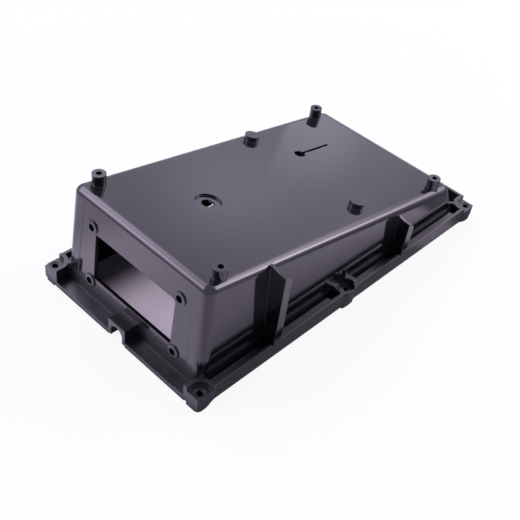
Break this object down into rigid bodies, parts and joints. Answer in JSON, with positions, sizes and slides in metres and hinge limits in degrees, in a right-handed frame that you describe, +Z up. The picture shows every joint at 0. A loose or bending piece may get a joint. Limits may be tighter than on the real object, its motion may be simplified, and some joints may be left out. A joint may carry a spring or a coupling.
{
  "type": "control box cover",
  "caption": "Rectangular moulded control box cover with a sloping top, a window in its tall end, a screw flange with raised rim, upright ribs, posts and a cable notch.",
  "frame": {"origin": "middle of the footprint, level with the undersides of the feet", "axes": "+X along the cover from the window end to the low end, +Y across it, +Z up out of the closed top"},
  "size_m": [0.29, 0.1474, 0.0845],
  "materials": {
    "cover": "semi-gloss dark grey injection moulded plastic"
  },
  "bodies": {
    "root": {"cover": "cover"}
  },
  "joints": []
}
